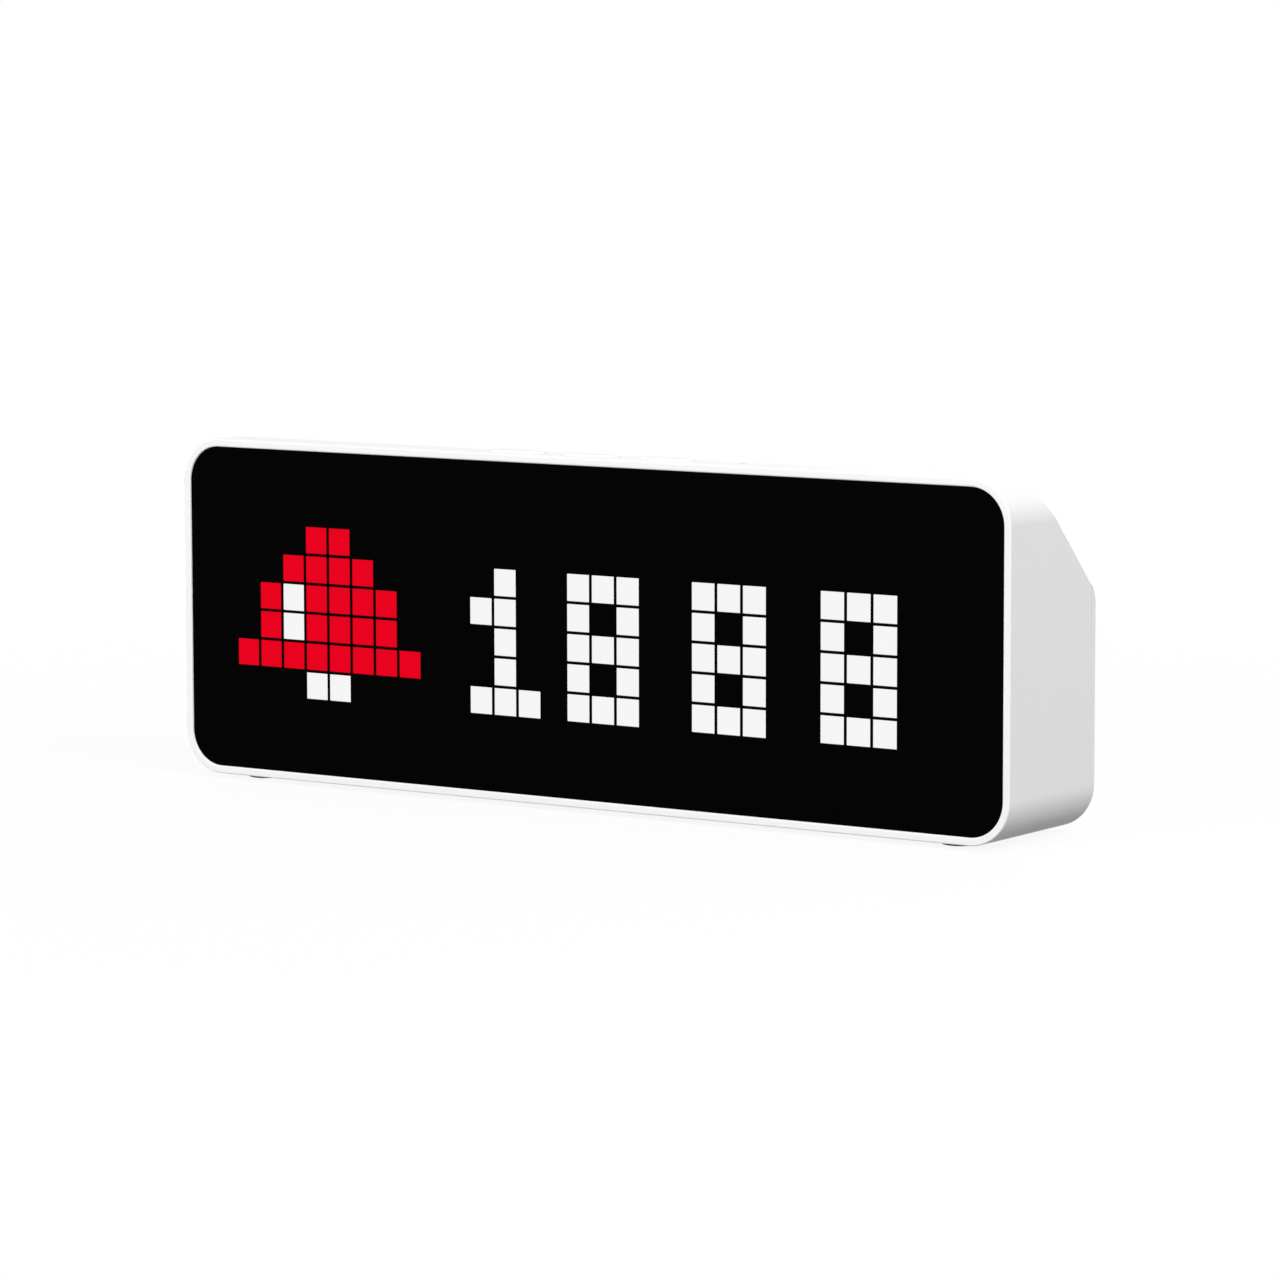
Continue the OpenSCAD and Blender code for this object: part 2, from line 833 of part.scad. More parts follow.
module link_socket() {
    color([0.1, 0.1, 0.1]) difference() {
        slab(light_board_back, link_base_front - fit)
            translate([link_x, link_z - mid_h]) square([link_l, link_w], center = true);
        slab(link_base_front - 2 * fit - link_in, link_base_front)
            link_places() square(link_pin + 4 * fit, center = true);
    }
}

// Battery

module battery_cells() {
    nub = cell_dia / 3;
    nub_h = contact_t;
    color("steelblue") for (s = [-1, 1])
        union() {
            rod_x(s * cell_x - cell_l / 2, s * cell_x + cell_l / 2 - nub_h, cell_d, cell_z, cell_dia);
            rod_x(s * cell_x, s * cell_x + cell_l / 2, cell_d, cell_z, nub);
        }
}

module cell_contacts() {
    half = plug_mid + wire_dia - cell_d;
    top = wire_z + wire_dia;
    color("silver") {
        block([-contact_t / 2, cell_d - half, cradle_top],
            [contact_t / 2, cell_d + half, cell_z + cell_dia / 3]);
        for (x = [-cradle_end, cells_end])
            block([x, cell_d - half, cradle_top], [x + contact_t, cell_d + half, top]);
    }
}

module battery_cradle() {
    half = cell_dia / 2;
    length = cradle_end + cradle_rib;
    rib_x = cell_l / 4;
    color("gainsboro") {
        block([-length, cell_d - half, wall], [length, cell_d + half, cradle_top]);
        for (x = [-length, cradle_end])
            block([x, cell_d - half, wall], [x + cradle_rib, cell_d + half, cell_z + half]);
        difference() {
            for (sx = [-1, 1], so = [-1, 1])
                block([sx * cell_x + so * rib_x - cradle_rib / 2, cell_d - half, wall],
                    [sx * cell_x + so * rib_x + cradle_rib / 2, cell_d + half, cradle_top + rib_h]);
            rod_x(-length, length, cell_d, cell_z, cell_dia + 2 * fit);
        }
    }
}

module battery_socket() {
    out_l = plug_l + 2 * fit + 2 * plug_wall;
    out_w = plug_w + 2 * fit + 2 * plug_wall;
    color("ivory") difference() {
        block([plug_x - out_l / 2, main_back, main_low],
            [plug_x + out_l / 2, main_back + out_w, main_low + socket_h]);
        block([plug_x - plug_l / 2 - fit, plug_front - fit, main_low - past],
            [plug_x + plug_l / 2 + fit, plug_front + plug_w + fit, plug_low + plug_h + fit]);
    }
}

module battery_plug() {
    color("white") block([plug_x - plug_l / 2, plug_front, plug_low],
        [plug_x + plug_l / 2, plug_front + plug_w, plug_low + plug_h]);
}

module battery_wires() {
    colours = ["black", "red"];
    for (i = [0, 1]) {
        s = 2 * i - 1;
        x = plug_x + s * wire_gap;
        color(colours[i]) {
            rod_z(x, plug_mid, wire_z, plug_low, wire_dia);
            translate([x, deep(plug_mid), up(wire_z)]) sphere(d = 1.1 * wire_dia);
            rod_x(s > 0 ? x : -cells_end, s > 0 ? cells_end : x, plug_mid, wire_z, wire_dia);
        }
    }
}

main_shell();
rear_cover();
cover_screws();
rubber_feet();
front_panel();
unlit_pixels();
white_pixels();
red_pixels();
light_grid();
led_board();
leds();
display_screws();
left_button();
middle_button();
right_button();
left_plunger();
middle_plunger();
right_plunger();
push_switches();
button_board();
button_screws();
button_wires();
light_guide();
light_sensor();
power_button();
power_plunger();
power_switch();
main_board();
board_screws();
radio_module();
radio_can();
board_chips();
sounder();
temperature_sensor();
usb_shell();
usb_tongue();
link_header();
link_pins_row();
link_socket();
battery_cells();
cell_contacts();
battery_cradle();
battery_socket();
battery_plug();
battery_wires();
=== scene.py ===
import json
import math

import bmesh
import bpy
from mathutils import Matrix, Vector


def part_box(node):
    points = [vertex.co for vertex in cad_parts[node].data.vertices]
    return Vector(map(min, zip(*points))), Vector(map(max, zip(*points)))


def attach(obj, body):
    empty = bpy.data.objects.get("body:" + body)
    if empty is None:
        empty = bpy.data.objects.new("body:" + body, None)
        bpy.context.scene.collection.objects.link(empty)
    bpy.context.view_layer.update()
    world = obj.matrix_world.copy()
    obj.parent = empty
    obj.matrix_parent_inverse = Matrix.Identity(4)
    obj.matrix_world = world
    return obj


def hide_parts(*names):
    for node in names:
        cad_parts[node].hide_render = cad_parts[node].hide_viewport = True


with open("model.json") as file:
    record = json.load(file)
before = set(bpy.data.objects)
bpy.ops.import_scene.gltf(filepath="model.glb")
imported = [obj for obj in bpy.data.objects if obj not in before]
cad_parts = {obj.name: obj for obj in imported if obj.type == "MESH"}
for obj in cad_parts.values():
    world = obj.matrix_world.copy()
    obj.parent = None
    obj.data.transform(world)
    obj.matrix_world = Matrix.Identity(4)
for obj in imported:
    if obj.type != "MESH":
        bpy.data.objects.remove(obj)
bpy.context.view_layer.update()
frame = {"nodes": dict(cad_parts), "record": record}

mm = 0.001
scene = bpy.context.scene
nodes = frame["nodes"]
print("frame loaded:", len(nodes), "nodes")


# camera fitted to the four corners of the display
cameraSetup = {
    "place": (0.60277, -0.87224, 0.1534),
    "tilt": 83.537,
    "roll": 0.104,
    "turn": 34.441,
    "lens": 148.51,
    "sensor": 36.0,
    "farthest": 50.0,
}


def addCamera(setup):
    data = bpy.data.cameras.new("photoCamera")
    data.sensor_width = setup["sensor"]
    data.lens = setup["lens"]
    data.clip_end = setup["farthest"]
    camera = bpy.data.objects.new("photoCamera", data)
    camera.location = setup["place"]
    camera.rotation_euler = [math.radians(setup[name]) for name in ("tilt", "roll", "turn")]
    scene.collection.objects.link(camera)
    scene.camera = camera


addCamera(cameraSetup)
print("camera placed")


# a socket that can be used in sums
class Wire:
    def __init__(self, tree, socket=None):
        self.tree = tree
        self.socket = socket

    def node(self, kind, settings=None, values=None, out=0):
        made = self.tree.nodes.new(kind)
        for name, value in (settings or {}).items():
            setattr(made, name, value)
        for key, value in (values or {}).items():
            if isinstance(value, Wire):
                self.tree.links.new(value.socket, made.inputs[key])
            else:
                made.inputs[key].default_value = value
        return Wire(self.tree, made.outputs[out])

    def maths(self, operation, *terms):
        return self.node("ShaderNodeMath", {"operation": operation}, dict(enumerate(terms)))

    def __add__(self, other):
        return self.maths("ADD", self, other)

    def __radd__(self, other):
        return self.maths("ADD", other, self)

    def __sub__(self, other):
        return self.maths("SUBTRACT", self, other)

    def __rsub__(self, other):
        return self.maths("SUBTRACT", other, self)

    def __mul__(self, other):
        return self.maths("MULTIPLY", self, other)

    def __rmul__(self, other):
        return self.maths("MULTIPLY", other, self)

    def __truediv__(self, other):
        return self.maths("DIVIDE", self, other)

    def __rtruediv__(self, other):
        return self.maths("DIVIDE", other, self)


def opaque(colour):
    return (*colour, 1.0)


def shaded(colour, share):
    return opaque([part * share for part in colour])


def grey(level):
    return opaque((level, level, level))


def blendColours(factor, first, second):
    return factor.node("ShaderNodeMix", {"data_type": "RGBA"}, {0: factor, 6: first, 7: second}, out=2)


# world and floor: white to the camera, soft grey light on the object
lightSetup = {
    "ambient": 0.40,
    "floorSize": 8.0,
    "floorShade": 0.95,
    "floorBounce": 0.14,
    "shadowReach": 0.45,
    "shadowDepth": 0.10,
    "lamps": {
        "frontSoftbox": {"from": (-0.7, -2.3, 0.42), "size": (1.8, 0.8), "power": 39.0},
        "rightSoftbox": {"from": (1.55, -0.45, 1.4), "size": (1.1, 0.9), "power": 31.0},
        "backSoftbox": {"from": (-0.3, 2.2, 0.42), "size": (1.6, 0.8), "power": 16.0},
        "leftSoftbox": {"from": (-2.1, 0.2, 0.42), "size": (1.2, 0.8), "power": 10.0},
    },
    "aim": (0.0, 0.0, 0.036),
}


def seenDirectly(tree):
    seen = [Wire(tree).node("ShaderNodeLightPath", out=name) for name in
            ("Is Camera Ray", "Is Glossy Ray", "Is Transmission Ray")]
    either = seen[0] + seen[1] + seen[2]
    return either.node("ShaderNodeClamp", None, {"Value": either})


def addWorld(setup):
    world = bpy.data.worlds.new("studioWorld")
    world.use_nodes = True
    tree = world.node_tree
    colour = blendColours(seenDirectly(tree), grey(setup["ambient"]), grey(1.0))
    tree.links.new(colour.socket, tree.nodes["Background"].inputs["Color"])
    scene.world = world


# shows white, and darkens only under and around the object
def floorFinish(setup):
    material = bpy.data.materials.new("paleFloor")
    material.use_nodes = True
    tree = material.node_tree
    tree.nodes.remove(tree.nodes["Principled BSDF"])
    start = Wire(tree)
    shade = start.node("ShaderNodeBsdfDiffuse", None, {"Color": grey(setup["floorShade"])})
    white = start.node("ShaderNodeEmission", None, {"Color": grey(1.0), "Strength": 1.0})
    bounce = start.node("ShaderNodeBsdfDiffuse", None, {"Color": grey(setup["floorBounce"])})
    spot = start.node("ShaderNodeTexCoord", out="Object")
    away = spot.node("ShaderNodeVectorMath", {"operation": "LENGTH"}, {0: spot}, out="Value")
    nearby = away.node("ShaderNodeMapRange", {"interpolation_type": "SMOOTHSTEP"},
                       {"Value": away, "From Min": 0.0, "From Max": setup["shadowReach"],
                        "To Min": setup["shadowDepth"], "To Max": 0.0})
    shown = start.node("ShaderNodeMixShader", None, {0: nearby, 1: white, 2: shade})
    surface = start.node("ShaderNodeMixShader", None, {0: seenDirectly(tree), 1: bounce, 2: shown})
    tree.links.new(surface.socket, tree.nodes["Material Output"].inputs["Surface"])
    return material


def addFloor(setup):
    shape = bmesh.new()
    bmesh.ops.create_grid(shape, x_segments=1, y_segments=1, size=setup["floorSize"] / 2)
    mesh = bpy.data.meshes.new("studioFloor")
    shape.to_mesh(mesh)
    shape.free()
    mesh.materials.append(floorFinish(setup))
    floor = bpy.data.objects.new("studioFloor", mesh)
    scene.collection.objects.link(floor)


def addLamps(setup):
    for name, lamp in setup["lamps"].items():
        data = bpy.data.lights.new(name, "AREA")
        data.shape = "RECTANGLE"
        data.size, data.size_y = lamp["size"]
        data.energy = lamp["power"]
        holder = bpy.data.objects.new(name, data)
        holder.location = lamp["from"]
        facing = Vector(setup["aim"]) - holder.location
        holder.rotation_euler = facing.to_track_quat("-Z", "Y").to_euler()
        scene.collection.objects.link(holder)


scene.view_settings.view_transform = "Standard"
addWorld(lightSetup)
addFloor(lightSetup)
addLamps(lightSetup)
print("light and floor placed")


# shared steps of the finishes
def startFinish(name, constants):
    material = bpy.data.materials.new(name)
    material.use_nodes = True
    tree = material.node_tree
    shader = tree.nodes["Principled BSDF"]
    for key, value in constants.items():
        shader.inputs[key].default_value = value
    place = Wire(tree).node("ShaderNodeTexCoord", out="Object")
    return material, shader, place


def feed(shader, **wires):
    sockets = {"colour": "Base Color", "glow": "Emission Color",
               "roughness": "Roughness", "normal": "Normal"}
    for key, wire in wires.items():
        wire.tree.links.new(wire.socket, shader.inputs[sockets[key]])


def noise(place, scale, detail, roughness=0.5):
    values = {"Vector": place, "Scale": scale, "Detail": detail, "Roughness": roughness}
    return place.node("ShaderNodeTexNoise", None, values)


def stretched(place, scale):
    return place.node("ShaderNodeMapping", None, {"Vector": place, "Scale": scale})


def bumped(height, strength, depth):
    values = {"Height": height, "Strength": strength, "Distance": depth}
    return height.node("ShaderNodeBump", None, values)


def along(place, axis):
    return place.node("ShaderNodeSeparateXYZ", None, {0: place}, out=axis)


# moulded plastic: a faint cloud in the colour and a fine grain
plasticSetup = {
    "cloud": {"scale": 22.0, "detail": 3.0},
    "grain": {"detail": 2.0, "roughness": 0.6},
    "sheenDrop": 0.06,
    "cloudSheen": 0.07,
    "grainSheen": 0.06,
    "bump": 0.6,
}


def mouldedPlastic(name, colour, sheen, grainSize, grainDepth, shift):
    setup = plasticSetup
    material, shader, place = startFinish(name, {})
    cloud = noise(place, **setup["cloud"])
    grain = noise(place, 1.0 / grainSize, **setup["grain"])
    smooth = sheen - setup["sheenDrop"]
    feed(shader, colour=blendColours(cloud, shaded(colour, 1 - shift), opaque(colour)),
         roughness=smooth + setup["cloudSheen"] * cloud + setup["grainSheen"] * grain,
         normal=bumped(grain, setup["bump"], grainDepth))
    return material


# smoked acrylic: nearly black, with a little haze
acrylicSetup = {
    "dark": (0.0005, 0.0005, 0.0006),
    "light": (0.0009, 0.0009, 0.001),
    "haze": {"scale": 14.0, "detail": 4.0},
    "roughness": 0.14,
    "hazeSheen": 0.06,
    "reflection": 0.008,
    "refraction": 1.49,
}


def smokedAcrylic(name, setup):
    material, shader, place = startFinish(name, {
        "Specular IOR Level": setup["reflection"], "IOR": setup["refraction"]})
    haze = noise(place, **setup["haze"])
    feed(shader, colour=blendColours(haze, opaque(setup["dark"]), opaque(setup["light"])),
         roughness=setup["roughness"] + setup["hazeSheen"] * haze)
    return material


# lit pixels: a glow that fades a little towards the corners of each cell
columnCount = 31
rowCount = 8
gridLow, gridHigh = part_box("light_grid")
pixelSetup = {
    "start": (gridLow.x, gridLow.z),
    "pitch": ((gridHigh.x - gridLow.x) / columnCount, (gridHigh.z - gridLow.z) / rowCount),
    "fade": 0.10,
    "speck": {"scale": 900.0, "detail": 1.0},
    "speckFade": 0.012,
    "reflection": 0.004,
    "roughness": 0.5,
}
whiteSetup = {"glow": (0.90, 0.90, 0.90), "rim": (0.78, 0.78, 0.79), "body": (0.02, 0.02, 0.02)}
redSetup = {"glow": (0.80, 0.0006, 0.0125), "rim": (0.62, 0.0004, 0.008), "body": (0.02, 0.0, 0.0006)}


def litDiffuser(name, setup, light):
    material, shader, place = startFinish(name, {
        "Emission Strength": 1.0, "Specular IOR Level": setup["reflection"],
        "Roughness": setup["roughness"]})
    sides = []
    for axis, start, pitch in zip("XZ", setup["start"], setup["pitch"]):
        spot = along(place, axis)
        fromMiddle = spot.maths("FRACT", (spot - start) / pitch) - 0.5
        sides.append(fromMiddle * fromMiddle)
    edge = (sides[0] + sides[1]) * 2.0  # 0 in the middle of a cell, 1 in its corners
    fade = edge * setup["fade"] + noise(place, **setup["speck"]) * setup["speckFade"]
    feed(shader, glow=blendColours(fade, opaque(light["glow"]), opaque(light["rim"])),
         colour=blendColours(fade, opaque(light["body"]), grey(0.0)))
    return material


rubberSetup = {
    "colour": (0.055, 0.055, 0.056),
    "dusty": 1.6,
    "grain": {"scale": 2600.0, "detail": 3.0, "roughness": 0.7},
    "dust": {"scale": 120.0, "detail": 4.0},
    "roughness": 0.72,
    "grainSheen": 0.15,
    "bump": 0.5,
    "depth": 0.06 * mm,
    "reflection": 0.3,
}


def softRubber(name, setup):
    material, shader, place = startFinish(name, {"Specular IOR Level": setup["reflection"]})
    grain = noise(place, **setup["grain"])
    dust = noise(place, **setup["dust"])
    colour = setup["colour"]
    feed(shader, colour=blendColours(dust, opaque(colour), shaded(colour, setup["dusty"])),
         roughness=setup["roughness"] + setup["grainSheen"] * grain,
         normal=bumped(grain, setup["bump"], setup["depth"]))
    return material


# plated metal: fine brushed lines and faint stains
metalSetup = {
    "lines": {"scale": 1.0, "detail": 3.0},
    "stain": {"scale": 160.0, "detail": 3.0},
    "stained": 0.82,
    "sheenDrop": 0.08,
    "lineSheen": 0.16,
    "bump": 0.15,
    "depth": 0.03 * mm,
}


def platedMetal(name, colour, roughness, brush):
    setup = metalSetup
    material, shader, place = startFinish(name, {"Metallic": 1.0})
    lines = noise(stretched(place, brush), **setup["lines"])
    stain = noise(place, **setup["stain"])
    feed(shader, colour=blendColours(stain, shaded(colour, setup["stained"]), opaque(colour)),
         roughness=roughness - setup["sheenDrop"] + setup["lineSheen"] * lines,
         normal=bumped(lines, setup["bump"], setup["depth"]))
    return material


# boards: paler lines over the copper tracks
boardSetup = {
    "tracks": 260.0,
    "trackWidth": 0.09,
    "trackShare": 0.8,
    "cloud": {"scale": 70.0, "detail": 2.0},
    "cloudShare": 0.2,
    "roughness": 0.34,
    "cloudSheen": 0.1,
    "bump": 0.4,
    "depth": 0.04 * mm,
    "reflection": 0.5,
}


def boardMask(name, colour, track):
    setup = boardSetup
    material, shader, place = startFinish(name, {"Specular IOR Level": setup["reflection"]})
    ways = place.node("ShaderNodeTexVoronoi", {"feature": "DISTANCE_TO_EDGE", "distance": "EUCLIDEAN"},
                      {"Vector": place, "Scale": setup["tracks"]})
    copper = ways.maths("LESS_THAN", ways, setup["trackWidth"])
    cloud = noise(place, **setup["cloud"])
    paler = copper * setup["trackShare"] + cloud * setup["cloudShare"]
    feed(shader, colour=blendColours(paler, opaque(colour), opaque(track)),
         roughness=setup["roughness"] + setup["cloudSheen"] * cloud,
         normal=bumped(copper, setup["bump"], setup["depth"]))
    return material


wireSetup = {
    "width": 1.3 * mm,
    "first": (0.42, 0.015, 0.012),
    "second": (0.02, 0.02, 0.022),
    "grain": {"scale": 1500.0, "detail": 2.0},
    "roughness": 0.48,
    "grainSheen": 0.12,
    "bump": 0.2,
    "depth": 0.04 * mm,
    "reflection": 0.4,
}


def wireSleeve(name, setup):
    material, shader, place = startFinish(name, {"Specular IOR Level": setup["reflection"]})
    across = along(place, "X")
    step = across.maths("PINGPONG", across, setup["width"])
    other = step.maths("GREATER_THAN", step, setup["width"] / 2)
    grain = noise(place, **setup["grain"])
    feed(shader, colour=blendColours(other, opaque(setup["first"]), opaque(setup["second"])),
         roughness=setup["roughness"] + setup["grainSheen"] * grain,
         normal=bumped(grain, setup["bump"], setup["depth"]))
    return material


# battery cells: a film with a stripe at each end of a cell
cellSetup = {
    "band": 32.5 * mm,
    "stripeShare": 0.12,
    "film": (0.03, 0.14, 0.36),
    "stripe": (0.75, 0.75, 0.75),
    "stretch": (300.0, 40.0, 40.0),
    "crease": {"scale": 1.0, "detail": 3.0},
    "roughness": 0.25,
    "creaseSheen": 0.15,
    "bump": 0.2,
    "depth": 0.1 * mm,
    "reflection": 0.5,
}


def cellWrap(name, setup):
    material, shader, place = startFinish(name, {"Specular IOR Level": setup["reflection"]})
    across = along(place, "X")
    band = across.maths("PINGPONG", across, setup["band"])
    edge = band.maths("LESS_THAN", band, setup["band"] * setup["stripeShare"])
    crease = noise(stretched(place, setup["stretch"]), **setup["crease"])
    feed(shader, colour=blendColours(edge, opaque(setup["film"]), opaque(setup["stripe"])),
         roughness=setup["roughness"] + setup["creaseSheen"] * crease,
         normal=bumped(crease, setup["bump"], setup["depth"]))
    return material


finishes = {
    "white_case": mouldedPlastic("satinWhite", (0.88, 0.88, 0.88), sheen=0.46,
                                 grainSize=0.35 * mm, grainDepth=0.06 * mm, shift=0.015),
    "white_button": mouldedPlastic("buttonWhite", (0.84, 0.84, 0.84), sheen=0.38,
                                   grainSize=0.3 * mm, grainDepth=0.03 * mm, shift=0.015),
    "black_panel": smokedAcrylic("smokedSheet", acrylicSetup),
    "unlit_pixel": smokedAcrylic("smokedPixel", acrylicSetup),
    "white_pixel": litDiffuser("whiteLight", pixelSetup, whiteSetup),
    "red_pixel": litDiffuser("redLight", pixelSetup, redSetup),
    "dark_rubber": softRubber("footRubber", rubberSetup),
    "black_moulding": mouldedPlastic("blackMoulding", (0.028, 0.028, 0.03), sheen=0.5,
                                     grainSize=0.5 * mm, grainDepth=0.04 * mm, shift=0.3),
    "green_board": boardMask("greenMask", (0.012, 0.085, 0.035), track=(0.03, 0.17, 0.07)),
    "blue_board": boardMask("blueMask", (0.012, 0.03, 0.13), track=(0.03, 0.07, 0.24)),
    "light_package": mouldedPlastic("packageIvory", (0.8, 0.77, 0.68), sheen=0.4,
                                    grainSize=0.3 * mm, grainDepth=0.02 * mm, shift=0.06),
    "bright_steel": platedMetal("screwSteel", (0.44, 0.44, 0.45), roughness=0.3,
                                brush=(900.0, 900.0, 120.0)),
    "tin_can": platedMetal("tinSheet", (0.58, 0.58, 0.59), roughness=0.28,
                           brush=(150.0, 1200.0, 1200.0)),
    "gold_pin": platedMetal("goldPlate", (0.83, 0.6, 0.24), roughness=0.22,
                            brush=(900.0, 900.0, 120.0)),
    "clear_guide": mouldedPlastic("clearGuide", (0.74, 0.78, 0.81), sheen=0.14,
                                  grainSize=0.8 * mm, grainDepth=0.01 * mm, shift=0.08),
    "cell_wrap": cellWrap("cellFilm", cellSetup),
    "wire_sleeve": wireSleeve("wireSkin", wireSetup),
    "ivory_connector": mouldedPlastic("ivoryNylon", (0.76, 0.71, 0.58), sheen=0.45,
                                      grainSize=0.5 * mm, grainDepth=0.03 * mm, shift=0.07),
}
slotOf = {row["node"]: row["material_slot"] for row in frame["record"]["subparts"]}
for nodeName, piece in nodes.items():
    for materialSlot in piece.material_slots:
        materialSlot.material = finishes[slotOf[nodeName]]
print("finishes made:", len(finishes))


# shared modelling steps
modelSetup = {
    "sharpAngle": math.radians(30),
    "mergeGap": 0.001 * mm,
    "straight": 0.99,
    "plateArea": 1000 * mm * mm,
    "shadeWeight": 50,
}
near = 0.02 * mm
flat = Matrix.Identity(4)
lyingBack = Matrix.Rotation(math.radians(90), 4, "X")
upright = lyingBack @ Matrix.Rotation(math.radians(90), 4, "Z")


def middleOf(name):
    low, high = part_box(name)
    return (low + high) / 2


def circleLoop(shape, centre, radius, stretch, facing, steps, filled=False):
    made = bmesh.ops.create_circle(shape, cap_ends=filled, radius=radius, segments=steps)
    half = Matrix.Rotation(math.pi / steps, 4, "Z")
    bmesh.ops.transform(shape, matrix=half, verts=made["verts"])
    for side in (-1, 1):
        end = [vert for vert in made["verts"] if vert.co.x * side > 0]
        bmesh.ops.translate(shape, vec=(side * stretch / 2, 0, 0), verts=end)
    bmesh.ops.transform(shape, matrix=Matrix.Translation(centre) @ facing, verts=made["verts"])
    return made["verts"]


# edges between the given vertices, in the same order at each run
def edgesOf(verts):
    inside = set(verts)
    joined = dict.fromkeys(edge for vert in verts for edge in vert.link_edges)
    return [edge for edge in joined if inside.issuperset(edge.verts)]


# an upright sheet, with the corners below one height rounded
def roundedFace(shape, low, high, radius, steps, below=math.inf):
    made = bmesh.ops.create_grid(shape, x_segments=1, y_segments=1, size=0.5)["verts"]
    middle = Matrix.Translation(((low.x + high.x) / 2, low.y, (low.z + high.z) / 2))
    spread = Matrix.Diagonal((high.x - low.x, high.z - low.z, 1, 1))
    bmesh.ops.transform(shape, matrix=middle @ lyingBack @ spread, verts=made)
    rounded = [vert for vert in made if vert.co.z < below]
    bmesh.ops.bevel(shape, geom=rounded, offset=radius, offset_type="OFFSET", segments=steps,
                    profile=0.5, affect="VERTICES", material=-1)


def moveNew(shape, made, vec):
    moved = [part for part in made["geom"] if isinstance(part, bmesh.types.BMVert)]
    bmesh.ops.translate(shape, vec=vec, verts=moved)
    return moved


def thicken(shape, faces, vec):
    return moveNew(shape, bmesh.ops.extrude_face_region(shape, geom=faces), vec)


def addBlock(shape, low, high):
    middle = Matrix.Translation([(start + end) / 2 for start, end in zip(low, high)])
    size = Matrix.Diagonal([end - start for start, end in zip(low, high)] + [1])
    bmesh.ops.create_cube(shape, size=1.0, matrix=middle @ size)


def addRod(shape, start, reach, radius, steps):
    loop = circleLoop(shape, start, radius, 0.0, lyingBack if reach.y else flat, steps, True)
    return thicken(shape, loop[0].link_faces[:], reach)


def addTube(shape, start, reach, post, steps):
    facing = lyingBack if reach.y else flat
    rims = [edge for radius in (post["radius"], post["bore"])
            for edge in edgesOf(circleLoop(shape, start, radius, 0.0, facing, steps))]
    thicken(shape, bmesh.ops.bridge_loops(shape, edges=rims)["faces"], reach)


def softenEdges(shape, edges, width, steps):
    bmesh.ops.bevel(shape, geom=edges, offset=width, offset_type="OFFSET", segments=steps,
                    profile=0.5, affect="EDGES", material=-1)


def sharpEdges(shape, test=lambda spot: True):
    return [edge for edge in shape.edges if len(edge.link_faces) == 2
            and edge.calc_face_angle(0.0) > modelSetup["sharpAngle"]
            and all(test(vert.co) for vert in edge.verts)]


# large flat faces across one axis, past a limit and outermost first
def largePlates(shape, axis, limit):
    plates = [face for face in shape.faces if abs(face.normal[axis]) > modelSetup["straight"]
              and face.calc_area() > modelSetup["plateArea"]
              and face.calc_center_median()[axis] > limit]
    return sorted(plates, key=lambda face: -face.calc_center_median()[axis])


def fillFlat(shape, edges):
    filled = bmesh.ops.triangle_fill(shape, use_beauty=True, use_dissolve=False, edges=edges)
    for part in filled["geom"]:
        if isinstance(part, bmesh.types.BMFace):
            part.tag = True  # shaded flat, so that long triangles don't show


# a thin plate can come out of the recalculation inside out
def faceOutward(shape):
    bmesh.ops.recalc_face_normals(shape, faces=shape.faces)
    if shape.calc_volume(signed=True) < 0:
        bmesh.ops.reverse_faces(shape, faces=shape.faces)


def addOutward(shape, adder, *values):
    before = set(shape.faces)
    adder(shape, *values)
    bmesh.ops.recalc_face_normals(shape, faces=[face for face in shape.faces if face not in before])


# holes through two plates, or pockets where there is one
def punchHoles(shape, plates, holes, lip, through, steps):
    rims = [plate.edges[:] for plate in plates]
    bmesh.ops.delete(shape, geom=plates, context="FACES_ONLY")
    inward = through.normalized() * lip
    for hole, centre, facing in holes:
        outer = circleLoop(shape, centre, hole["radius"] + lip, hole["stretch"], facing, steps)
        lower = circleLoop(shape, centre + inward, hole["radius"], hole["stretch"], facing, steps)
        upperRim = edgesOf(outer)
        lowerRim = edgesOf(lower)
        bmesh.ops.bridge_loops(shape, edges=upperRim + lowerRim)
        inner = moveNew(shape, bmesh.ops.extrude_edge_only(shape, edges=lowerRim), through - inward)
        rims[0] += upperRim
        if len(plates) > 1:
            rims[1] += edgesOf(inner)
        else:
            bmesh.ops.edgeloop_fill(shape, edges=edgesOf(inner))
    for edges in rims:
        fillFlat(shape, edges)
    faceOutward(shape)


def finishPiece(shape, name, slot, body, replaced):
    bmesh.ops.remove_doubles(shape, verts=shape.verts, dist=modelSetup["mergeGap"])
    for face in shape.faces:
        face.smooth = not face.tag
    for edge in sharpEdges(shape):
        edge.smooth = False
    mesh = bpy.data.meshes.new(name)
    shape.to_mesh(mesh)
    shape.free()
    mesh.materials.append(finishes[slot])
    piece = bpy.data.objects.new(name, mesh)
    scene.collection.objects.link(piece)
    level = piece.modifiers.new("evenShade", "WEIGHTED_NORMAL")
    level.weight = modelSetup["shadeWeight"]
    level.keep_sharp = True
    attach(piece, body)
    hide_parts(*replaced)


